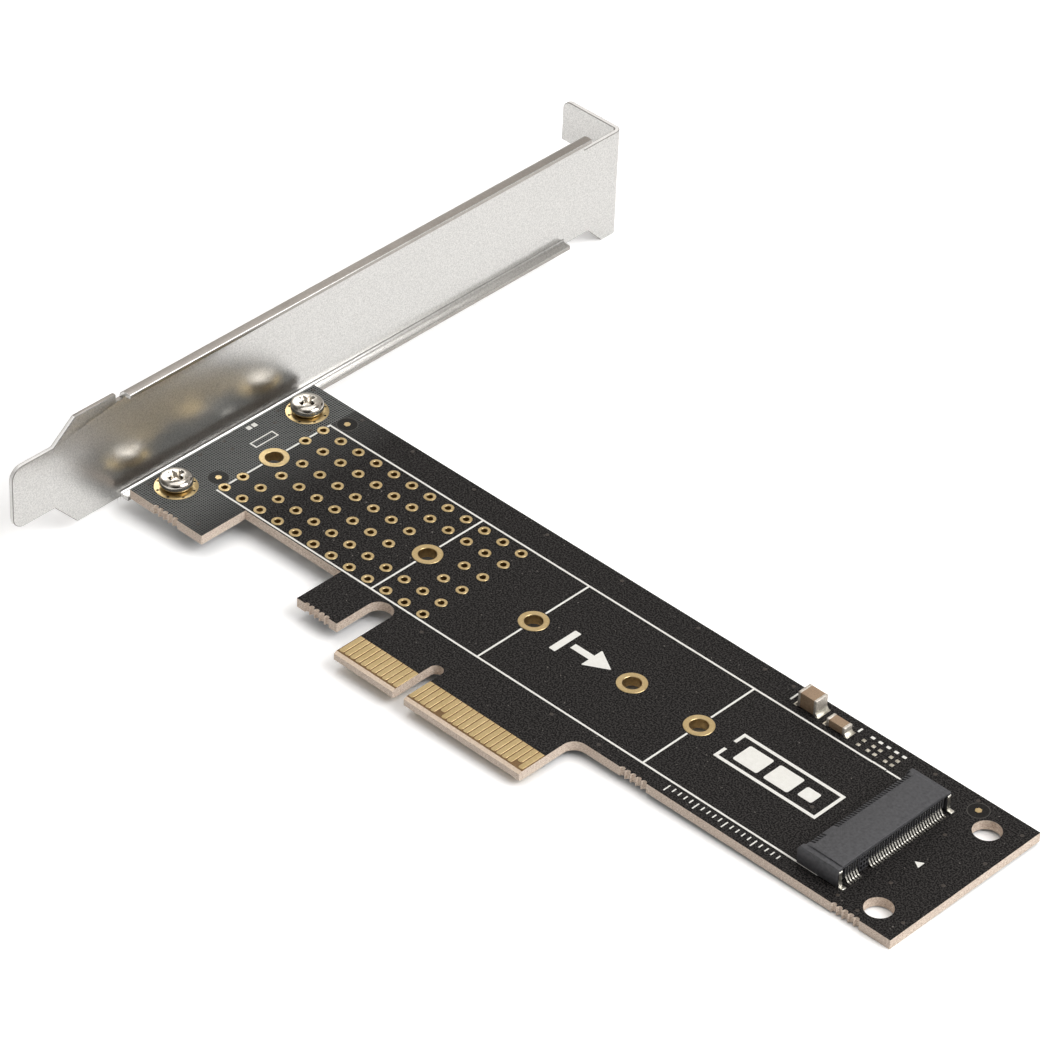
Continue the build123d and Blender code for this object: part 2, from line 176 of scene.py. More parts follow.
# %% Floor through the three points that the card rests on
screw_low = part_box("bracket_screw_lower")[0]
screw_middle = middle("bracket_screw_lower")
bracket_low, bracket_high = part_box("slot_bracket")
rest_points = [
    Vector((bracket_low.x, bracket_high.y, bracket_low.z)),
    Vector((screw_middle.x, screw_middle.y, screw_low.z)),
    Vector((far_end, board_bottom_edge, back)),
]
floor_up = (rest_points[1] - rest_points[0]).cross(rest_points[2] - rest_points[0]).normalized()
if floor_up.z < 0:
    floor_up.negate()
bpy.ops.object.select_all(action="DESELECT")
bpy.ops.mesh.primitive_plane_add(size=6.0, location=(0, 0, 0))
floor = bpy.context.object
floor.name = "floor"
turn = Vector((0, 0, 1)).rotation_difference(floor_up).to_matrix().to_4x4()
floor.data.transform(Matrix.Translation(rest_points[2]) @ turn)

shadow_reach = 8 * MM                        # how near the card the ground loses its lift
camera_lift, mirror_lift = 0.33, 0.10
floor_material = bpy.data.materials.new("white ground")
floor_material.use_nodes = True
tree = floor_material.node_tree
shader = tree.nodes["Principled BSDF"]
shader.inputs["Base Color"].default_value = (0.93, 0.93, 0.93, 1)
shader.inputs["Roughness"].default_value = 0.9
shader.inputs["Specular IOR Level"].default_value = 0.0
path = tree.nodes.new("ShaderNodeLightPath")
openness = tree.nodes.new("ShaderNodeAmbientOcclusion")
openness.inputs["Distance"].default_value = shadow_reach
openness.samples = 8
raised = maths(tree, "MULTIPLY", openness.outputs["AO"], camera_lift)
seen = maths(tree, "MULTIPLY", path.outputs["Is Camera Ray"], raised)
mirrored = maths(tree, "MULTIPLY", path.outputs["Is Glossy Ray"], mirror_lift)
shader.inputs["Emission Color"].default_value = (1, 1, 1, 1)
tree.links.new(maths(tree, "ADD", seen, mirrored), shader.inputs["Emission Strength"])
floor.data.materials.append(floor_material)
print("the floor leans", round(math.degrees(floor_up.angle(Vector((0, 0, 1)))), 2), "degrees from the card")

# %% [markdown]
# The world stands for the room: pale low down, where the white ground sweeps up, and greyer above it,
# with a few dark patches for whatever stands about. A bright panel stands behind the card, where the
# flat gold and the bracket's rib mirror it, and a duller one to the side of it. Opposite it is dark, and
# the screws and every rounded edge take their contrast from there. Two broad soft boxes carry the rest
# of the light, and because they are broad, every shadow is soft.

# %% World and lamps
world = bpy.data.worlds.new("studio")
bpy.context.scene.world = world
world.use_nodes = True
tree = world.node_tree
tree.nodes.clear()
where = tree.nodes.new("ShaderNodeTexCoord").outputs["Generated"]
split = tree.nodes.new("ShaderNodeSeparateXYZ")
tree.links.new(where, split.inputs[0])
height = split.outputs["Z"]
pale_low, grey_above, pale_high = (1.1, 1.1, 1.1, 1), (0.62, 0.59, 0.56, 1), (0.66, 0.64, 0.61, 1)
walls = eased_ramp(tree, height, [(0.10, pale_low), (0.45, grey_above), (0.85, pale_high)])
things_about = eased_ramp(tree, noise(tree, where, 2.6, 0.0),
                          [(0.42, (0.10, 0.09, 0.085, 1)), (0.56, (1, 1, 1, 1))])
above = maths(tree, "MULTIPLY", height, 6.0, clamp=True)
surround = mixed(tree, above, walls, things_about, "MULTIPLY")


def part_of_room(way, edge, sharpness):
    towards = tree.nodes.new("ShaderNodeVectorMath")
    towards.operation = "DOT_PRODUCT"
    towards.inputs[1].default_value = way
    tree.links.new(where, towards.inputs[0])
    past_edge = maths(tree, "SUBTRACT", towards.outputs["Value"], edge)
    return maths(tree, "MULTIPLY", past_edge, sharpness, clamp=True)


side_panel = part_of_room((0.53, 0.58, 0.61), 0.84, 9.0)
panel_behind = part_of_room((-0.534, 0.584, 0.613), 0.84, 9.0)
its_bright_part = part_of_room((-0.72, 0.47, 0.51), 0.945, 26.0)
dark_side = part_of_room((0.60, -0.62, 0.51), 0.82, 8.0)
for part, colour in ((side_panel, (0.60, 0.57, 0.54, 1)), (panel_behind, (0.92, 0.86, 0.81, 1)),
                     (its_bright_part, (1.40, 1.34, 1.27, 1)), (dark_side, (0.05, 0.046, 0.042, 1))):
    surround = mixed(tree, part, surround, colour)
room = tree.nodes.new("ShaderNodeBackground")
room.inputs["Strength"].default_value = 0.72
tree.links.new(surround, room.inputs["Color"])
white = tree.nodes.new("ShaderNodeBackground")
white.inputs["Color"].default_value = (1, 1, 1, 1)
path = tree.nodes.new("ShaderNodeLightPath")
either = tree.nodes.new("ShaderNodeMixShader")
tree.links.new(path.outputs["Is Camera Ray"], either.inputs["Fac"])
tree.links.new(room.outputs[0], either.inputs[1])
tree.links.new(white.outputs[0], either.inputs[2])
end = tree.nodes.new("ShaderNodeOutputWorld")
tree.links.new(either.outputs[0], end.inputs["Surface"])


def soft_box(name, place, size, power):
    data = bpy.data.lights.new(name, "AREA")
    data.shape = "RECTANGLE"
    data.size, data.size_y = size
    data.energy = power
    lamp = bpy.data.objects.new(name, data)
    bpy.context.scene.collection.objects.link(lamp)
    lamp.location = place
    lamp.rotation_mode = "QUATERNION"
    lamp.rotation_quaternion = (Vector((0, 0.02, 0)) - Vector(place)).to_track_quat("-Z", "Y")
    return lamp


# name, place, size and power in watts
soft_box("key box", (0.70, 0.31, 0.77), (0.7, 0.7), 9.4)
soft_box("fill box", (-0.2, 0.15, 1.1), (0.9, 0.9), 3.6)
bpy.context.scene.view_settings.view_transform = "Standard"

# %% [markdown]
# ## Shared effects
# Several finishes here have a fine grain: the mask is faintly mottled, plated metal is not quite even,
# and moulded plastic is matte. One node group makes that grain from two sizes of noise. It puts out a
# value to mix colours with and a height to feed a Bump node, and each material sets its own scale.

# %% Group: fine grain


def new_group(name, inputs, outputs):
    group = bpy.data.node_groups.new(name, "ShaderNodeTree")
    for title, kind, value in inputs:
        socket = group.interface.new_socket(title, in_out="INPUT", socket_type=kind)
        socket.default_value = value
    for title, kind in outputs:
        group.interface.new_socket(title, in_out="OUTPUT", socket_type=kind)
    return group, group.nodes.new("NodeGroupInput"), group.nodes.new("NodeGroupOutput")


grain, come, go = new_group(
    "fine grain",
    [("Scale", "NodeSocketFloat", 4000.0), ("Patches", "NodeSocketFloat", 300.0),
     ("Contrast", "NodeSocketFloat", 1.0)],
    [("Value", "NodeSocketFloat"), ("Height", "NodeSocketFloat")],
)
place = grain.nodes.new("ShaderNodeTexCoord")
fine = grain.nodes.new("ShaderNodeTexNoise")
fine.inputs["Detail"].default_value = 3.0
broad = grain.nodes.new("ShaderNodeTexNoise")
broad.inputs["Detail"].default_value = 1.0
for texture, scale in ((fine, "Scale"), (broad, "Patches")):
    grain.links.new(place.outputs["Object"], texture.inputs["Vector"])
    grain.links.new(come.outputs[scale], texture.inputs["Scale"])
blended = maths(grain, "ADD", maths(grain, "MULTIPLY", fine.outputs["Fac"], 0.65),
                maths(grain, "MULTIPLY", broad.outputs["Fac"], 0.35))
grain.links.new(contrasted(grain, blended, come.outputs["Contrast"]), go.inputs["Value"])
grain.links.new(fine.outputs["Fac"], go.inputs["Height"])
print("group:", grain.name, "with", len(grain.nodes), "nodes")

# %% [markdown]
# A finish then needs few lines: a Principled shader, the grain between two tones of one colour, and a
# shallow bump. Numbers that are the same all over are set on the shader itself. Each finish below is
# given as its dark tone, its light tone and its roughness, and then whatever sets it apart.

# %% A finish with grain
relief_depth = 0.02 * MM


def grain_in(tree, scale, patches, contrast):
    node = tree.nodes.new("ShaderNodeGroup")
    node.node_tree = grain
    for title, value in (("Scale", scale), ("Patches", patches), ("Contrast", contrast)):
        node.inputs[title].default_value = value
    return node


def raise_relief(tree, shader, height, strength):
    relief = tree.nodes.new("ShaderNodeBump")
    relief.inputs["Strength"].default_value = strength
    relief.inputs["Distance"].default_value = relief_depth
    tree.links.new(height, relief.inputs["Height"])
    tree.links.new(relief.outputs["Normal"], shader.inputs["Normal"])


def finish(name, dark, light, roughness, metallic=0.0, scale=4000.0, patches=300.0, contrast=2.0,
           bump=0.0, specular=0.5):
    material = bpy.data.materials.new(name)
    material.use_nodes = True
    tree = material.node_tree
    shader = tree.nodes["Principled BSDF"]
    shader.inputs["Roughness"].default_value = roughness
    shader.inputs["Metallic"].default_value = metallic
    shader.inputs["Specular IOR Level"].default_value = specular
    texture = grain_in(tree, scale, patches, contrast)
    colour = mixed(tree, texture.outputs["Value"], (*dark, 1), (*light, 1))
    tree.links.new(colour, shader.inputs["Base Color"])
    if bump:
        raise_relief(tree, shader, texture.outputs["Height"], bump)
    return material


gold = finish("gold plating", (0.50, 0.37, 0.17), (0.70, 0.55, 0.31), 0.34, metallic=1.0,
              scale=5000.0, bump=0.25)
satin_nickel = finish("satin nickel", (0.575, 0.57, 0.555), (0.80, 0.79, 0.77), 0.28, metallic=1.0,
                      scale=6200.0, patches=3900.0, contrast=4.2, bump=0.40)
bright_nickel = finish("bright nickel", (0.56, 0.525, 0.47), (0.74, 0.70, 0.64), 0.11, metallic=1.0,
                       bump=0.05)
tin = finish("tin", (0.50, 0.485, 0.43), (0.76, 0.74, 0.68), 0.32, metallic=1.0, bump=0.15)
dipped_metal = finish("dipped metal", (0.40, 0.36, 0.31), (0.80, 0.75, 0.68), 0.50, metallic=0.7,
                      scale=3500.0, contrast=3.0, bump=0.5)
socket_plastic = finish("socket plastic", (0.036, 0.036, 0.040), (0.082, 0.082, 0.088), 0.55,
                        scale=2500.0, patches=2000.0, bump=0.3)
ceramic = finish("capacitor ceramic", (0.21, 0.14, 0.085), (0.40, 0.275, 0.175), 0.55, scale=6000.0,
                 bump=0.3)
print("materials so far:", [material.name for material in bpy.data.materials])

# %% [markdown]
# ## Board
# A circuit board is a glass-fibre laminate, tan at its cut edges, under a thin coat of black mask.
# Two materials on separate faces would do, but the board's own mesh is left as it came, so one
# material tells them apart: a face that looks straight up or down is mask, any other is a cut. Beside
# the contacts the mask is left off, and beside the bracket it lies over a copper mesh, whose small
# squares show through.

# %% Board material
board_material = bpy.data.materials.new("board")
board_material.use_nodes = True
tree = board_material.node_tree
shader = tree.nodes["Principled BSDF"]
shader.inputs["Specular IOR Level"].default_value = 0.10
spot = tree.nodes.new("ShaderNodeTexCoord").outputs["Object"]
xyz = tree.nodes.new("ShaderNodeSeparateXYZ")
tree.links.new(spot, xyz.inputs[0])
card_x, card_y, card_z = xyz.outputs["X"], xyz.outputs["Y"], xyz.outputs["Z"]
facing = tree.nodes.new("ShaderNodeNewGeometry")
slope = tree.nodes.new("ShaderNodeSeparateXYZ")
tree.links.new(facing.outputs["True Normal"], slope.inputs[0])
upward = maths(tree, "ABSOLUTE", slope.outputs["Z"])
flat = maths(tree, "GREATER_THAN", upward, 0.97)

# black mask with a fine grit and a few pale specks
grit = noise(tree, spot, 4300.0, 1.0)
gritty = contrasted(tree, grit, 8.0)
mask_colour = mixed(tree, gritty, (0.0005, 0.0005, 0.0005, 1), (0.037, 0.034, 0.033, 1))
dust = maths(tree, "SUBTRACT", noise(tree, spot, 2100.0, 2.0), 0.70, clamp=True)
specks = maths(tree, "MULTIPLY", dust, 14.0, clamp=True)
mask_colour = mixed(tree, specks, mask_colour, (0.20, 0.185, 0.17, 1))

# copper mesh under the mask: small dark squares between paler lines
mesh_pitch = 0.40 * MM
fading_length = 9 * MM                       # past the frame's left line
wave_x, wave_y = [maths(tree, "SINE", maths(tree, "MULTIPLY", way, 2 * math.pi / mesh_pitch))
                  for way in (card_x, card_y)]
squares = maths(tree, "GREATER_THAN", maths(tree, "MINIMUM", wave_x, wave_y), -0.3)
mesh_colour = mixed(tree, squares, (0.155, 0.16, 0.155, 1), (0.002, 0.002, 0.002, 1))
mesh_colour = mixed(tree, maths(tree, "MULTIPLY", gritty, 0.25), mesh_colour, mask_colour)
past_frame = maths(tree, "SUBTRACT", card_x, drive_end - 110 * MM)
in_frame = maths(tree, "MULTIPLY", maths(tree, "GREATER_THAN", past_frame, 0.0),
                 maths(tree, "GREATER_THAN", card_y, recess_edge))
fading = maths(tree, "SUBTRACT", 1.0, maths(tree, "MULTIPLY", past_frame, 1 / fading_length), clamp=True)
meshed = maths(tree, "MULTIPLY", fading, maths(tree, "SUBTRACT", 1.0, maths(tree, "MULTIPLY", in_frame, 0.6)))
mask_colour = mixed(tree, meshed, mask_colour, mesh_colour)

# round each alignment dot the copper stops: a dark disc with a faint rim
clear_radius, half_rim = 1.5 * MM, 0.07 * MM
for dot_x, dot_y in ((-50.25, 15.15), (-46.75, 36.65), (68.15, 37.35)):
    across = maths(tree, "SUBTRACT", card_x, dot_x * MM)
    along = maths(tree, "SUBTRACT", card_y, dot_y * MM)
    squares_of_both = [maths(tree, "MULTIPLY", away, away) for away in (across, along)]
    from_dot = maths(tree, "SQRT", maths(tree, "ADD", *squares_of_both))
    disc = maths(tree, "LESS_THAN", from_dot, clear_radius)
    from_rim = maths(tree, "ABSOLUTE", maths(tree, "SUBTRACT", from_dot, clear_radius))
    rim = maths(tree, "LESS_THAN", from_rim, half_rim)
    mask_colour = mixed(tree, maths(tree, "MULTIPLY", disc, 0.8), mask_colour, (0.014, 0.013, 0.012, 1))
    mask_colour = mixed(tree, maths(tree, "MULTIPLY", rim, 0.45), mask_colour, (0.12, 0.115, 0.105, 1))

# bare laminate between the contacts
tongue_left = -13 * MM
mottle = grain_in(tree, 5200.0, 400.0, 2.0).outputs["Value"]
bare_colour = mixed(tree, mottle, (0.12, 0.07, 0.03, 1), (0.26, 0.155, 0.075, 1))
bare = maths(tree, "LESS_THAN", card_y, contact_top + 0.05 * MM)
on_tongue = maths(tree, "MULTIPLY", bare, maths(tree, "GREATER_THAN", card_x, tongue_left))
flat_colour = mixed(tree, on_tongue, mask_colour, bare_colour)

# cut laminate: pale fibres in faint layers, with painted shade on the end face that stands behind the bracket
layer_pitch = 0.3 * MM
stretch = tree.nodes.new("ShaderNodeMapping")
stretch.inputs["Scale"].default_value = (0.55, 0.55, 1.6)
tree.links.new(spot, stretch.inputs["Vector"])
fibres = contrasted(tree, noise(tree, stretch.outputs["Vector"], 6500.0, 4.0), 2.2)
cut_colour = mixed(tree, fibres, (0.38, 0.26, 0.185, 1), (0.92, 0.82, 0.72, 1))
layer = maths(tree, "SINE", maths(tree, "MULTIPLY", card_z, 2 * math.pi / layer_pitch))
layered = maths(tree, "MULTIPLY", maths(tree, "GREATER_THAN", layer, 0.55), 0.35)
cut_colour = mixed(tree, layered, cut_colour, (0.80, 0.72, 0.62, 1))
bevelled = maths(tree, "GREATER_THAN", upward, 0.3)
cut_colour = mixed(tree, maths(tree, "MULTIPLY", bevelled, 0.6), cut_colour, (0.82, 0.65, 0.49, 1))
# painted shade: the end face behind the bracket is made almost black
painted_shade_behind = maths(tree, "LESS_THAN", card_x, near_end + 0.05 * MM)
cut_colour = mixed(tree, maths(tree, "MULTIPLY", painted_shade_behind, 0.8), cut_colour, (0.07, 0.065, 0.06, 1))
colour = mixed(tree, flat, cut_colour, flat_colour)
tree.links.new(colour, shader.inputs["Base Color"])
cut_roughness, mask_roughness = 0.85, 0.47
smoother = maths(tree, "MULTIPLY", flat, cut_roughness - mask_roughness)
tree.links.new(maths(tree, "SUBTRACT", cut_roughness, smoother), shader.inputs["Roughness"])
raise_relief(tree, shader, grit, 0.35)
print("board material has", len(tree.nodes), "nodes")

# %% [markdown]
# Every node gets its finish now, also those that a finer piece will stand for later, so nothing is ever
# left plain. A material is put on a node by filling its material slots, and its mesh isn't touched.

# %% Put the finishes on the nodes
finishes = {
    "circuit_board": board_material,
    "edge_contacts_front": gold,
    "edge_contacts_rear": gold,
    "thermal_vias": gold,
    "screw_pad_lower": gold,
    "screw_pad_upper": gold,
    "alignment_dots": gold,
    "slot_bracket": satin_nickel,
    "bracket_screw_lower": bright_nickel,
    "bracket_screw_upper": bright_nickel,
    "socket_housing": socket_plastic,
    "large_capacitor": ceramic,
    "small_capacitor": ceramic,
}
finishes.update({f"post_eyelet_{length}": gold for length in drive_lengths})
for name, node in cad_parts.items():
    node.data.materials.clear()
    node.data.materials.append(finishes.get(name, tin))
print("dressed", len(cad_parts), "nodes")

# %% [markdown]
# ## Tools for the pieces
# The pieces below are shaped as by hand: a primitive is added at its size and place, then extruded,
# resized, bevelled or cut. An operator acts on everything that is selected, so each helper first
# clears the selection. Sizes are written in millimetres and scaled once, in the helpers.

# %% Select, settle, modify


def only(piece=None):
    if bpy.context.object and bpy.context.object.mode != "OBJECT":
        bpy.ops.object.mode_set(mode="OBJECT")
    bpy.ops.object.select_all(action="DESELECT")
    if piece:
        piece.select_set(True)
        bpy.context.view_layer.objects.active = piece
    return piece


def open_edit(piece, everything=True):
    only(piece)
    bpy.ops.object.mode_set(mode="EDIT")
    bpy.ops.mesh.select_mode(type="VERT")
    bpy.ops.mesh.select_all(action="SELECT" if everything else "DESELECT")


def close_edit():
    bpy.ops.mesh.select_all(action="SELECT")
    bpy.ops.mesh.normals_make_consistent(inside=False)
    bpy.ops.object.mode_set(mode="OBJECT")


def settle(piece):
    only(piece)
    bpy.ops.object.transform_apply(location=True, rotation=True, scale=True)
    return piece


def modify(piece, kind, **settings):
    only(piece)
    modifier = piece.modifiers.new(kind.lower(), kind)
    for key, value in settings.items():
        setattr(modifier, key, value)
    bpy.ops.object.modifier_apply(modifier=modifier.name)
    return piece


def pick(piece, kind, wanted):
    bpy.ops.mesh.select_mode(type=kind)
    bpy.ops.mesh.select_all(action="DESELECT")
    mesh = bmesh.from_edit_mesh(piece.data)
    parts = {"VERT": mesh.verts, "EDGE": mesh.edges, "FACE": mesh.faces}[kind]
    for part in parts:
        if wanted(part):
            part.select_set(True)
    mesh.select_flush_mode()
    bmesh.update_edit_mesh(piece.data)


def copied(piece, shift, name):
    twin = piece.copy()
    twin.data = piece.data.copy()
    twin.name = name
    bpy.context.scene.collection.objects.link(twin)
    twin.data.transform(Matrix.Translation(Vector(shift)))
    return twin


def joined(name, pieces):
    only(pieces[0])
    for piece in pieces[1:]:
        piece.select_set(True)
    bpy.ops.object.join()
    pieces[0].name = name
    pieces[0].data.name = name
    return pieces[0]


def dressed(piece, material, nodes, smooth=35):
    only(piece)
    bpy.ops.object.shade_smooth_by_angle(angle=math.radians(smooth))
    if len(piece.data.materials) == 0:
        piece.data.materials.append(material)
    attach(piece, "root")
    if nodes:
        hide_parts(*nodes)
    print(piece.name, len(piece.data.polygons), "faces")
    return piece


# %% [markdown]
# Three ways to start a shape cover almost everything here: a block, a body turned from a section, and a
# strip folded along its side view. A fourth helper takes a node's own mesh, joins its loose triangles
# and gives a copy that can be bevelled.

# %% Ways to start a shape
join_distance = 0.0005 * MM


def block(name, low, high):
    only()
    low, high = Vector(low) * MM, Vector(high) * MM
    bpy.ops.mesh.primitive_cube_add(size=1, location=(low + high) / 2, scale=high - low)
    piece = bpy.context.object
    piece.name = name
    return settle(piece)


def turned(name, x, y, profile, sides=32, ring=True):
    only()
    start = (x, y, profile[0][1] * MM)
    bpy.ops.mesh.primitive_circle_add(vertices=sides, radius=profile[0][0] * MM, location=start)
    piece = bpy.context.object
    piece.name = name
    open_edit(settle(piece))
    way = profile + [profile[0]] if ring else profile
    for (radius, height), (next_radius, next_height) in zip(way, way[1:]):
        rise = (0, 0, (next_height - height) * MM)
        bpy.ops.mesh.extrude_region_move(TRANSFORM_OT_translate={"value": rise})
        widen = next_radius / radius
        pivot = (x, y, next_height * MM)
        bpy.ops.transform.resize(value=(widen, widen, 1), center_override=pivot)
    bpy.ops.mesh.select_all(action="SELECT")
    bpy.ops.mesh.remove_doubles(threshold=join_distance)
    if not ring:
        bpy.ops.mesh.fill_holes(sides=0)
    close_edit()
    return piece


def folded_strip(name, line, low_y, width, thickness, bend):
    only()
    first = (line[0][0] * MM, low_y * MM, line[0][1] * MM)
    bpy.ops.mesh.primitive_plane_add(size=MM, location=first)
    piece = bpy.context.object
    piece.name = name
    open_edit(settle(piece))
    bpy.ops.mesh.merge(type="CENTER")
    for (x, z), (next_x, next_z) in zip(line, line[1:]):
        step = ((next_x - x) * MM, 0, (next_z - z) * MM)
        bpy.ops.mesh.extrude_region_move(TRANSFORM_OT_translate={"value": step})
    pick(piece, "VERT", lambda corner: len(corner.link_edges) == 2)
    bpy.ops.mesh.bevel(affect="VERTICES", offset=bend * MM, segments=3)
    bpy.ops.mesh.select_all(action="SELECT")
    bpy.ops.mesh.extrude_region_move(TRANSFORM_OT_translate={"value": (0, width * MM, 0)})
    bpy.ops.object.mode_set(mode="OBJECT")
    modify(piece, "SOLIDIFY", thickness=thickness * MM, offset=0)
    open_edit(piece)
    close_edit()
    return piece


def softened(piece, width, segments=2, angle=40, clamp=True):
    return modify(piece, "BEVEL", width=width * MM, segments=segments, limit_method="ANGLE",
                  angle_limit=math.radians(angle), harden_normals=False, use_clamp_overlap=clamp)


def merged_copy(node, name):
    twin = copied(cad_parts[node], (0, 0, 0), name)
    twin.data.materials.clear()
    open_edit(twin)
    bpy.ops.mesh.remove_doubles(threshold=join_distance)
    bpy.ops.mesh.dissolve_limited(angle_limit=math.radians(1))
    bpy.ops.object.mode_set(mode="OBJECT")
    return twin


print("helpers ready")

# %% [markdown]
# ## Plated holes
# Each thermal via is a hole plated through the board, with a flat gold pad round it on both faces.
# The model draws them as plain tubes. Here one is turned from its section, with rolled lips that catch
# the light and a barrel of darker brown plating, whose colour partly paints the shade inside the hole,
# and copied to every place. The places come from the model's own rule: twelve columns 3.5 mm apart
# and six rows, of which the two by the drive's axis are broken.

# %% Thermal vias
plating = 0.055                              # how far gold stands proud of the board, in mm
# the bore's plating is a darker brown, partly painted shade inside the hole
barrel_painted_shade = finish("plated barrel", (0.20, 0.12, 0.045), (0.52, 0.35, 0.15), 0.45, metallic=1.0,
                scale=3000.0, bump=0.4)


def plated_hole(name, x, y, pad, hole, sides, lip=0.06):
    high, low = plating, back / MM - plating
    profile = [
        (pad, -0.02), (pad, high - lip * 0.5), (pad - lip * 0.7, high), (hole + lip, high),
        (hole + lip * 0.2, high - lip * 0.6), (hole, -0.06), (hole, low + 0.115),
        (hole + lip * 0.2, low + lip * 0.6), (hole + lip, low), (pad - lip * 0.7, low),
        (pad, low + lip * 0.5), (pad, low + 0.075),
    ]
    piece = turned(name, x, y, profile, sides)
    piece.data.materials.append(gold)
    piece.data.materials.append(barrel_painted_shade)
    for side in piece.data.polygons:
        centre = side.center
        inside = math.hypot(centre.x - x, centre.y - y) < (hole + 0.03) * MM
        side.material_index = int(inside and back < centre.z < -0.03 * MM)
    return piece


via_row_middle = drive_axis - 0.19 * MM
first_via = drive_end - 109.8 * MM
via_pitch = 3.5 * MM
via_pad, via_bore = 0.89, 0.44
via_places = []
for column in range(12):
    for row in (9.5, 6.0, 2.0, -2.0, -6.0, -9.5):
        if abs(row) > 3 or 1 <= column <= 7 or column >= 10:
            via_places.append((first_via + via_pitch * column, via_row_middle + row * MM))
one_via = plated_hole("via", *via_places[0], via_pad, via_bore, 20)
vias = [one_via]
for x, y in via_places[1:]:
    vias.append(copied(one_via, (x - via_places[0][0], y - via_places[0][1], 0), "via"))
dressed(joined("thermal_vias_plated", vias), gold, ["thermal_vias"])
print(len(via_places), "vias")

# %% [markdown]
# The five eyelets take the post that holds a drive's free end, one for each drive length. They are the
# same plated hole at a larger size, so the same section serves.

# %% Post eyelets
eyelet_pad, eyelet_bore = 2.15, 1.3
for length in drive_lengths:
    x = middle(f"post_eyelet_{length}").x
    eyelet = plated_hole(f"eyelet_{length}", x, drive_axis, eyelet_pad, eyelet_bore, 48, lip=0.07)
    dressed(eyelet, gold, [f"post_eyelet_{length}"])

# %% [markdown]
# Under each bracket screw the board has a gold ring, stitched round with eight small vias. A boolean
# cut with eight little pegs makes their mouths, and a dark floor in each is painted shade: it stands for
# the unlit depth of the hole and keeps the board below from showing.

# %% Screw pads with stitching holes
# painted shade: a near-black floor for each small hole
hole_painted_shade = finish("hole in shade", (0.006, 0.004, 0.003), (0.02, 0.014, 0.008), 0.8, scale=3000.0)
stitches = 8
stitch_circle = 2.74 * MM
stitch_radius = 0.2


def cut_out(piece, cutter):
    modify(piece, "BOOLEAN", operation="DIFFERENCE", object=cutter, solver="EXACT")
    bpy.data.objects.remove(cutter)


def screw_pad(node):
    centre = middle(node)
    ring_section = [(3.1, -0.01), (3.1, 0.03), (3.06, plating), (1.55, plating), (1.5, 0.03), (1.5, -0.01)]
    pad = turned(node + "_ring", centre.x, centre.y, ring_section, 64)
    pegs, floors = [], []
    for step in range(stitches):
        angle = 2 * math.pi * (step + 0.5) / stitches
        x = centre.x + stitch_circle * math.cos(angle)
        y = centre.y + stitch_circle * math.sin(angle)
        pegs.append(turned("peg", x, y, [(stitch_radius, -0.5), (stitch_radius, 0.5)], 12, ring=False))
        floor_section = [(stitch_radius + 0.02, -0.01), (stitch_radius + 0.02, 0.012)]
        floors.append(turned("via_shade_floor", x, y, floor_section, 12, ring=False))
        floors[-1].data.materials.append(hole_painted_shade)
    cut_out(pad, joined("pegs", pegs))
    pad.data.materials.append(gold)
    pad.data.materials.append(hole_painted_shade)
    whole = joined(node + "_ring", [pad] + floors)
    return dressed(whole, gold, [node])


for node in ("screw_pad_lower", "screw_pad_upper"):
    screw_pad(node)

# %% [markdown]
# ## Edge contacts
# Copper is left bare of mask along the tongue, and hard gold is plated on it. The etched copper has
# round lower corners and a low, soft shoulder. One long contact and one short one are shaped, and
# copied along both faces at the slot's 1 mm pitch. Short ones make contact last.

# %% Edge contacts
contact_width = 0.8
corner_cut = 0.27
contact_start, short_start, contact_end = 0.75, 1.65, contact_top / MM
left_contacts = [-1.5 - place for place in range(11)]
right_contacts = [1.5 + place for place in range(21)]
short_contacts = [right_contacts[5], right_contacts[19]]


def contact_pad(start, low, high):
    only()
    middle_y = (start + contact_end) / 2
    bpy.ops.mesh.primitive_plane_add(size=1, location=(0, middle_y * MM, low * MM))
    pad = bpy.context.object
    pad.name = "contact"
    pad.scale = (contact_width * MM, (contact_end - start) * MM, 1)
    open_edit(settle(pad))
    pick(pad, "VERT", lambda corner: corner.co.y < middle_y * MM)
    bpy.ops.mesh.bevel(affect="VERTICES", offset=corner_cut * MM, segments=4)
    bpy.ops.mesh.select_all(action="SELECT")
    bpy.ops.mesh.extrude_region_move(TRANSFORM_OT_translate={"value": (0, 0, (high - low) * MM)})
    close_edit()
    return softened(pad, 0.018, 1, 50)


for label, low, high in (("front", -0.01, plating), ("rear", back / MM - plating, back / MM + 0.01)):
    long_one = contact_pad(contact_start, low, high)
    short_one = contact_pad(short_start, low, high)
    row = []
    for x in left_contacts + right_contacts:
        short = label == "front" and x in short_contacts
        row.append(copied(short_one if short else long_one, (x * MM, 0, 0), "contact"))
    bpy.data.objects.remove(long_one)
    bpy.data.objects.remove(short_one)
    dressed(joined(f"edge_contacts_{label}_etched", row), gold, [f"edge_contacts_{label}"])

# %% [markdown]
# ## Bracket screws
# Two pan-head screws hold the bracket's ears to the board. The head is turned from its section, the
# cross recess is a tapered cross that is cut from it, and the thread is one tooth swept up the shank
# with the Screw modifier. A small bevel rounds the recess's rim, where most of the glints are.

# %% Bracket screws
recess_length, recess_width, recess_depth = 3.2, 0.86, 1.15
recess_taper = 0.42                          # size of the recess's floor beside its mouth


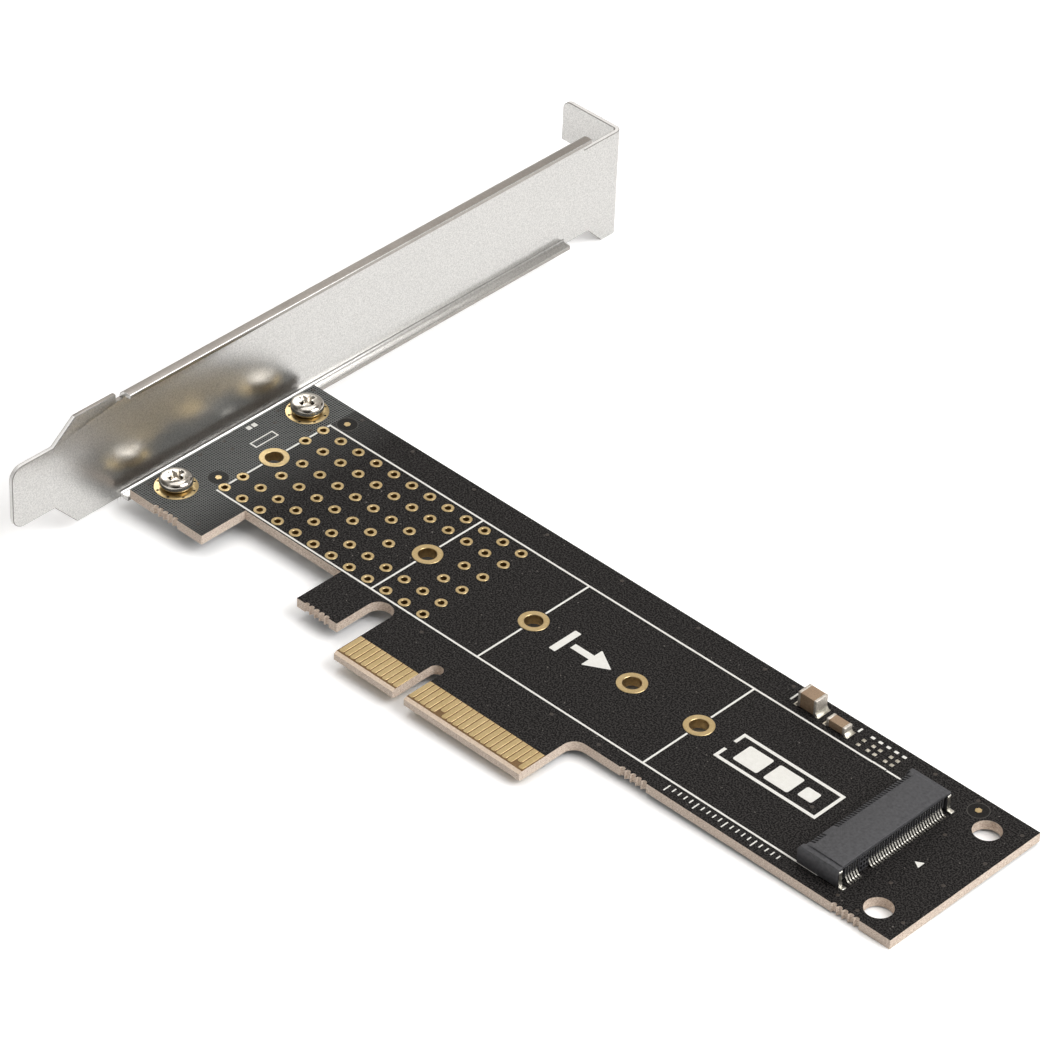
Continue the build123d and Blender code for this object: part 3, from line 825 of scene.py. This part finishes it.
def cross_cutter(centre, top):
    arms = []
    cx, cy, bottom = centre.x / MM, centre.y / MM, top - recess_depth
    for size_x, size_y in ((recess_length, recess_width), (recess_width, recess_length)):
        arm = block("arm", (cx - size_x / 2, cy - size_y / 2, bottom),
                    (cx + size_x / 2, cy + size_y / 2, top + 0.4))
        bpy.ops.object.mode_set(mode="EDIT")
        pick(arm, "FACE", lambda side: side.normal.z < -0.5)
        bpy.ops.transform.resize(value=(recess_taper, recess_taper, 1),
                                 center_override=(centre.x, centre.y, bottom * MM))
        bpy.ops.object.mode_set(mode="OBJECT")
        arms.append(arm)
    modify(arms[0], "BOOLEAN", operation="UNION", object=arms[1], solver="EXACT")
    bpy.data.objects.remove(arms[1])
    return arms[0]


def pan_head_screw(node):
    low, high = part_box(node)
    centre = (low + high) / 2
    top, tip = high.z / MM, low.z / MM
    shank = [(0.55, tip), (0.85, tip + 0.18), (1.02, tip + 0.45), (1.02, 0.02)]
    washer_face = [(1.9, 0.06), (2.0, 0.12), (2.3, 0.58), (2.39, 0.7), (2.4, 0.8)]
    crown = [(2.4, top - 0.72), (2.33, top - 0.5), (2.17, top - 0.3), (1.9, top - 0.15), (1.45, top - 0.05),
             (0.9, top - 0.01), (0.3, top)]
    section = shank + washer_face + crown
    screw = turned(node + "_pan_head", centre.x, centre.y, section, 48, ring=False)
    cut_out(screw, cross_cutter(centre, top))
    softened(screw, 0.05, 2, 35)

    only()
    pitch = 0.5
    turns = 4
    thread_join = 0.001 * MM
    thread_root = Vector((centre.x + 1.0 * MM, centre.y, (tip + 0.3) * MM))
    bpy.ops.mesh.primitive_plane_add(size=MM, location=thread_root)
    thread = bpy.context.object
    thread.name = "thread"
    open_edit(settle(thread))
    bpy.ops.mesh.merge(type="CENTER")
    for step in ((0.24, 0, 0.19), (0, 0, 0.06), (-0.24, 0, 0.19), (0, 0, 0.06)):
        bpy.ops.mesh.extrude_region_move(TRANSFORM_OT_translate={"value": Vector(step) * MM})
    bpy.ops.object.mode_set(mode="OBJECT")
    bpy.context.scene.cursor.location = (centre.x, centre.y, 0)
    bpy.ops.object.origin_set(type="ORIGIN_CURSOR")
    modify(thread, "SCREW", angle=2 * math.pi, screw_offset=pitch * MM, iterations=turns, steps=28,
           render_steps=28, use_merge_vertices=True, merge_threshold=thread_join, axis="Z")
    bpy.context.scene.cursor.location = (0, 0, 0)
    open_edit(settle(thread))
    bpy.ops.mesh.remove_doubles(threshold=thread_join)
    bpy.ops.mesh.fill_holes(sides=0)
    close_edit()
    return dressed(joined(screw.name, [screw, thread]), bright_nickel, [node], 40)


for node in ("bracket_screw_lower", "bracket_screw_upper"):
    pan_head_screw(node)

# %% [markdown]
# ## Slot bracket
# The bracket is one blank of thin steel, punched, folded along both long sides into stiffening ribs,
# and folded over at the top into the flange that the case screw holds. The model has its exact shape,
# so a merged copy of it is used. Punching leaves a rounded edge on one side of the sheet and plating
# softens the other, so a narrow bevel goes round every sharp edge. One edge of the model is very short,
# and a clamped bevel would be as narrow as that everywhere, so this one isn't clamped. The cut is a
# rougher finish, painted paler than the face, which partly paints the highlight it catches. Its rounded
# rim gets painted shade, a thin dark line round the sheet, and the ribs' top and tip get a darker copy
# of the nickel, which is painted shade too. Each finish goes on by the place and the width of a face.

# %% Slot bracket
bracket = merged_copy("slot_bracket", "slot_bracket_punched")
softened(bracket, 0.10, 2, 40, clamp=False)
# the cut is a rougher finish; its paler colour also partly paints the highlight that it catches
sheared_with_highlight = finish("sheared edge", (0.80, 0.79, 0.77), (0.95, 0.94, 0.92), 0.45, metallic=0.45,
                 scale=3500.0, bump=0.4)
# painted shade: the dark line of the burr's shade on the rounded rim of every cut
rim = finish("rim painted shade", (0.24, 0.235, 0.22), (0.36, 0.35, 0.33), 0.5, metallic=0.6, scale=3500.0)
# painted shade: a darker copy of the nickel for the ribs' top and tip
rib_painted_shade = finish("rib edge painted shade", (0.36, 0.335, 0.31), (0.50, 0.47, 0.44), 0.35, metallic=1.0, scale=3500.0)
bracket_finishes = [satin_nickel, sheared_with_highlight, rim, rib_painted_shade]
for material in bracket_finishes:
    bracket.data.materials.append(material)
slim_width = 0.12 * MM
corners = bracket.data.vertices
for side in bracket.data.polygons:
    centre, normal = side.center, side.normal
    in_sheet = centre.x < near_end - 1.75 * MM
    across = abs(normal.z) > 0.4 and in_sheet
    rib_tip = normal.x > 0.4 and abs(centre.x - near_end + 0.3 * MM) < 0.15 * MM
    lower_end = abs(normal.y) > 0.4 and centre.y < 0
    longest = max((corners[a].co - corners[b].co).length for a, b in side.edge_keys)
    slim = side.area < slim_width * longest
    rib_top = normal.z > 0.9 and centre.z > 13.5 * MM
    # ribs' top and tip: painted shade; slim rim faces: painted shade; cut faces: paler, partly painted
    # highlight
    look = satin_nickel
    if (rib_tip or rib_top) and not slim:
        look = rib_painted_shade
    elif in_sheet and slim:
        look = rim
    elif across or lower_end:
        look = sheared_with_highlight
    side.material_index = bracket_finishes.index(look)
for place, look in enumerate(bracket_finishes):
    print(look.name, sum(side.material_index == place for side in bracket.data.polygons), "faces")
dressed(bracket, satin_nickel, ["slot_bracket"], 32)

# %% [markdown]
# ## Drive socket
# The housing is moulded in one piece. Its top is a smooth cover, its open side has a comb of slots for
# the upper contacts, and its back is a row of fine ribs with a contact between each two. The model has
# the main shape. A copy gets rounded edges, and the ribs are one block, copied along the back.

# %% Socket housing
socket_low, socket_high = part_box("socket_housing")
housing = merged_copy("socket_housing", "socket_housing_body")
softened(housing, 0.07, 2, 50, clamp=False)
cover_back = socket_high.x / MM
axis_y = drive_axis / MM
pin_pitch = 0.5
rib_root, rib_crest = cover_back - 0.6, 2.75
ribs = []
rib = block("rib", (rib_root, axis_y - 9.6, 1.0), (cover_back - 0.03, axis_y - 9.4, rib_crest))
softened(rib, 0.04, 1)
for step in range(39):
    if step not in (6, 7, 8):
        ribs.append(copied(rib, (0, pin_pitch * MM * step, 0), "rib"))
bpy.data.objects.remove(rib)

# where the key is, small square pockets keep the moulding's walls even
wall = 0.16
for step in range(4):
    y = axis_y - 6.72 + 0.56 * step
    ribs.append(block("wall", (rib_root, y, 0.0), (cover_back - 0.08, y + wall, rib_crest)))
for z in (0.0, 0.72, 1.44, 2.16):
    ribs.append(block("shelf", (rib_root, axis_y - 6.65, z), (cover_back - 0.1, axis_y - 4.95, z + wall)))
whole = joined("socket_housing_moulded", [housing] + ribs)
dressed(whole, socket_plastic, ["socket_housing"])
print("socket from", [round(v / MM, 2) for v in socket_low], "to", [round(v / MM, 2) for v in socket_high])

# %% [markdown]
# The contacts are stamped from spring strip and bent down to the board, where their feet are soldered.
# One strip is folded along its side view, with rounded bends, and copied at the socket's 0.5 mm pitch.
# The upper strips come down between the housing's ribs and lean out below them.
# The gap in each row is where the drive's key comes.

# %% Socket contacts
upper_low, upper_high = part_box("socket_contacts_upper")
lower_low, lower_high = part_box("socket_contacts_lower")
print("upper contacts", [round(v / MM, 2) for v in upper_low], [round(v / MM, 2) for v in upper_high])
print("lower contacts", [round(v / MM, 2) for v in lower_low], [round(v / MM, 2) for v in lower_high])
pin_width = 0.24
strip = 0.14                                 # thickness of the spring strip
strip_bend = 0.16
pin_places = 38
first_pin = axis_y - (pin_places - 1) * pin_pitch / 2
upper_places = [place for place in range(pin_places) if place not in range(5, 9)]
lower_places = [place + 0.5 for place in range(pin_places - 1) if place not in range(4, 8)]
upper_line = [(upper_low.x / MM, 2.125), (cover_back - 0.24, 2.125), (cover_back - 0.24, 1.0),
              (upper_high.x / MM - 0.42, 0.075), (upper_high.x / MM, 0.075)]
lower_line = [(lower_low.x / MM, 0.075), (lower_low.x / MM + 0.725, 0.075), (lower_low.x / MM + 0.725, 1.275),
              (lower_high.x / MM - 0.5, 1.275), (lower_high.x / MM, 1.24)]
for node, line, places in (("socket_contacts_upper", upper_line, upper_places),
                           ("socket_contacts_lower", lower_line, lower_places)):
    contact = folded_strip("contact", line, first_pin - pin_width / 2, pin_width, strip, strip_bend)
    row = [copied(contact, (0, place * pin_pitch * MM, 0), "contact") for place in places]
    bpy.data.objects.remove(contact)
    dressed(joined(node + "_formed", row), tin, [node])
    print(len(places), "contacts in", node)

# %% [markdown]
# A folded tab at each end of the socket holds it down. Its foot is soldered to the board, and the
# solder creeps up the tab a little, so a rounded pillow of it lies over the foot.

# %% Hold-down tabs
for node in ("hold_down_lower", "hold_down_upper"):
    low, high = [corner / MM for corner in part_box(node)]
    line = [(low.x - 0.5, high.z - 0.1), (low.x + 0.075, high.z - 0.1), (low.x + 0.075, 0.5),
            (low.x + 0.3, 0.075), (high.x, 0.075)]
    tab = folded_strip("tab", line, low.y + 0.04, high.y - low.y - 0.08, strip, strip_bend)
    softened(tab, 0.03, 1, 60)
    pillow = block("pillow", (low.x + 0.1, low.y - 0.05, -0.02), (high.x + 0.12, high.y + 0.05, 0.24))
    softened(pillow, 0.11, 3)
    dressed(joined(node + "_folded", [tab, pillow]), tin, [node])

# %% [markdown]
# ## Ceramic capacitors
# Each is a fired brown block whose two ends are dipped in metal. The dip rounds over the corners, and
# solder rises from the pad to the metal in a hollow curve. That curve is a bevel whose profile is
# pulled below a straight chamfer.

# %% Capacitors
solder = finish("solder", (0.40, 0.375, 0.31), (0.80, 0.76, 0.66), 0.36, metallic=1.0, scale=2200.0,
                contrast=3.0, bump=0.7)


def capacitor(node):
    low, high = [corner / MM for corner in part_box(node + "_ends")]
    foot_low, foot_high = [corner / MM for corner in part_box(node + "_solder")]
    end = 0.15 * (high.x - low.x)
    skin = 0.05
    body = block(node + "_fired", (low.x + 0.1, low.y + skin, skin),
                 (high.x - 0.1, high.y - skin, high.z - skin))
    softened(body, 0.07, 2)
    dressed(body, ceramic, [node])
    caps = []
    for start, stop in ((low.x, low.x + end), (high.x - end, high.x)):
        cap = block("cap", (start, low.y, 0.01), (stop, high.y, high.z))
        softened(cap, 0.14, 3)
        caps.append(cap)
    dressed(joined(node + "_dipped_ends", caps), dipped_metal, [node + "_ends"], 50)
    fillets = []
    for side, start, stop in ((-1, foot_low.x, low.x + 0.05), (1, high.x - 0.05, foot_high.x)):
        top = 0.3 + 0.12 * high.z
        fillet = block("fillet", (start, low.y + 0.02, -0.01), (stop, high.y - 0.02, top))
        bpy.ops.object.mode_set(mode="EDIT")
        outer = (start if side < 0 else stop) * MM
        pick(fillet, "EDGE", lambda edge: all(abs(v.co.x - outer) < 0.01 * MM and v.co.z > 0.1 * MM
                                              for v in edge.verts))
        bpy.ops.mesh.bevel(offset_type="PERCENT", offset_pct=92, segments=6, profile=0.2)
        bpy.ops.object.mode_set(mode="OBJECT")
        softened(fillet, 0.04, 2, 60)
        land = block("land", (start - 0.12 * (side < 0), low.y - 0.08, -0.01),
                     (stop + 0.12 * (side > 0), high.y + 0.08, 0.09))
        softened(land, 0.05, 2)
        fillets += [fillet, land]
    dressed(joined(node + "_fillets", fillets), solder, [node + "_solder"], 50)


for node in ("large_capacitor", "small_capacitor"):
    capacitor(node)

# %% [markdown]
# Ten small pads beside them were left without parts. Tin was floated over each, so it stands up a
# little and is round at its edges.

# %% Spare pads
pads_low, pads_high = [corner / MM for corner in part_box("spare_pads")]
pad_size = 0.55
pad_columns = [pads_low.x, 50.175, 51.325, 53.175, pads_high.x - pad_size]
pads = []
for x in pad_columns:
    for y in (pads_low.y, pads_high.y - pad_size):
        pad = block("pad", (x, y, -0.01), (x + pad_size, y + pad_size, 0.11))
        softened(pad, 0.075, 3)
        pads.append(pad)
dressed(joined("spare_pads_tinned", pads), solder, ["spare_pads"], 50)

# %% [markdown]
# ## Printed marks
# White ink is printed on the finished mask. It has a thickness that can just be felt, and its corners
# are a little round, because the ink is pushed through a screen. Each mark is a plane of the mark's
# size, with its corners bevelled, and raised by a fiftieth of a millimetre.

# %% Ink
ink = finish("white ink", (0.72, 0.71, 0.66), (0.88, 0.87, 0.83), 0.55, scale=9000.0, patches=1500.0,
             bump=0.2)
ink_top, ink_root = 0.02, 0.004              # above the mask and sunk in it, in mm
marks = []


def raised(piece, corner):
    open_edit(piece)
    if corner:
        bpy.ops.mesh.bevel(affect="VERTICES", offset=corner * MM, segments=3)
    bpy.ops.mesh.select_all(action="SELECT")
    bpy.ops.mesh.extrude_region_move(TRANSFORM_OT_translate={"value": (0, 0, (ink_top + ink_root) * MM)})
    close_edit()
    marks.append(piece)
    return piece


def bar(x, y, next_x, next_y, corner=0.05):
    only()
    place = ((x + next_x) / 2 * MM, (y + next_y) / 2 * MM, -ink_root * MM)
    bpy.ops.mesh.primitive_plane_add(size=1, location=place)
    piece = bpy.context.object
    piece.scale = (abs(next_x - x) * MM, abs(next_y - y) * MM, 1)
    piece.name = "mark"
    return raised(settle(piece), corner)


def broken(start, stop, rings):
    """The stretches of a line that stay clear of the gold rings."""
    stretches = []
    for ring_y, half in sorted(rings):
        if ring_y - half > start and ring_y + half < stop:
            stretches.append((start, ring_y - half))
            start = ring_y + half
    stretches.append((start, stop))
    return stretches


line_width = 0.3
half_line = line_width / 2
lower_y, upper_y = 13.03, 34.75
line_low, line_high = lower_y + half_line, upper_y - half_line
clear_of_via, clear_of_eyelet = 1.0, 2.3
sharp = 0.02                                 # corner of a bar that meets another one
frame_left = drive_end / MM - 110
bar(frame_left - half_line, lower_y - half_line, drive_end / MM + line_width, line_low)
bar(drive_end / MM, line_low, drive_end / MM + line_width, lower_y + 0.9, sharp)
bar(frame_left - half_line, upper_y - half_line, 52.35, upper_y + half_line)
bar(52.35, upper_y - 0.1, 54.6, upper_y + 0.2)
bar(54.75, upper_y - half_line, 57.45, upper_y + half_line)
eyelet_ring = (axis_y, clear_of_eyelet)
via_rings = [(y / MM, clear_of_via) for x, y in via_places if abs(x / MM - frame_left) < 1]
for low_y, high_y in broken(line_low, line_high, via_rings + [eyelet_ring]):
    bar(frame_left - half_line, low_y, frame_left + half_line, high_y, sharp)
for length in (80, 60, 30):
    x = drive_end / MM - length
    for low_y, high_y in broken(line_low, line_high, [eyelet_ring]):
        bar(x - half_line, low_y, x + half_line, high_y, sharp)
print(len(marks), "stretches of line")

# %% [markdown]
# The rest is plain signs, of the kind that help whoever fits a drive. An arrow points the way that the
# drive goes in, an outline shows how it lies, a row of ticks a millimetre apart serves as a rule, and
# a small triangle points at the first contacts.

# %% Signs


def triangle(x, y, size, degrees):
    only()
    place = (x * MM, y * MM, -ink_root * MM)
    bpy.ops.mesh.primitive_circle_add(vertices=3, radius=size * MM, fill_type="NGON", location=place,
                                      rotation=(0, 0, math.radians(degrees)))
    piece = bpy.context.object
    piece.name = "mark"
    return raised(settle(piece), size * 0.08)


# the way in: a thick bar, a shaft and a head
bar(7.0, axis_y - 2.6, 8.1, axis_y + 2.6, 0.12)
bar(9.0, axis_y - 0.55, 12.4, axis_y + 0.55, sharp)
triangle(13.6, axis_y, 2.4, -90)

# how the drive lies: an outline with three parts on it
left, right, low_y, high_y, wall = 37.0, 54.6, axis_y - 3.1, axis_y + 3.1, 0.5
bar(left, low_y, right, low_y + wall)
bar(left, high_y - wall, right, high_y)
bar(right - wall, low_y + wall, right, high_y - wall, sharp)
bar(left, low_y + wall, left + wall, axis_y - 0.9, sharp)
bar(left, axis_y + 0.9, left + wall, high_y - wall, sharp)
bar(left + 2.2, axis_y - 1.8, left + 6.4, axis_y + 1.8, 0.3)
bar(left + 7.5, axis_y - 1.8, left + 11.7, axis_y + 1.8, 0.3)
bar(left + 12.8, axis_y - 1.1, left + 15.2, axis_y + 1.1, 0.3)

# a rule beside the lower line
for tick in range(20):
    tick_length = 1.35 if tick % 5 == 0 else 0.8
    bar(37.2 + tick, 12.35 - tick_length, 37.4 + tick, 12.35, 0.03)

# small marks: first contacts, the capacitors' ends, the spare pads' columns
triangle(69.6, axis_y, 0.75, 90)
bar(36.3, 36.6, 36.6, 38.2)
bar(46.9, 38.0, 47.2, 38.9)
for place in range(5):
    bar(48.9 + 1.35 * place, 38.25, 49.55 + 1.35 * place, 38.7, 0.08)

# the indicator lamp's place: an outline and its two pads
for low_y, high_y in ((23.6, 23.85), (27.75, 28.0)):
    bar(-52.75, low_y, -51.75, high_y, 0.04)
for low_x in (-52.95, -51.75):
    bar(low_x, 23.6, low_x + 0.2, 28.0, 0.04)
for low_y in (25.7, 26.75):
    bar(-56.0, low_y, -55.2, low_y + 0.75, 0.1)
printed = joined("printed_marks", marks)
printed.data.materials.clear()
dressed(printed, ink, [])

# %% [markdown]
# ## Covered vias
# The mask also runs over many tiny vias that only join copper layers. Each shows as a faint ring with
# a dimple. One is turned and copied to places near the card's edges, where such vias are spread.

# %% Covered vias
covered = finish("mask over copper", (0.012, 0.009, 0.007), (0.05, 0.036, 0.026), 0.4, scale=5200.0, bump=0.3)
covered_places = [
    (-55.9, 7.1), (-55.9, 12.4), (-55.8, 16.9), (-53.7, 21.0), (-55.8, 21.4), (-54.0, 29.6), (-55.8, 31.8),
    (-49.3, 32.0), (-55.9, 38.9), (-46.0, 38.8), (-44.6, 6.0), (-36.0, 38.8), (-24.0, 38.8), (-10.0, 38.8),
    (4.0, 38.8), (18.0, 38.8), (30.0, 38.8), (35.0, 38.9), (59.6, 38.8), (66.9, 38.8), (75.2, 37.6),
    (75.4, 30.0), (75.4, 14.0), (69.9, 11.6), (66.3, 12.0), (52.8, 22.4), (25.3, 11.6), (-7.0, 11.4),
    (16.8, 11.6), (68.2, 30.6), (69.4, 18.6), (74.4, 23.0),
]
ring = turned("ring", 0, 0, [(0.30, -0.005), (0.28, 0.012), (0.15, 0.014), (0.07, 0.002)], 14, ring=False)
rings = [copied(ring, (x * MM, y * MM, 0), "ring") for x, y in covered_places]
bpy.data.objects.remove(ring)
dressed(joined("covered_vias", rings), covered, [], 60)
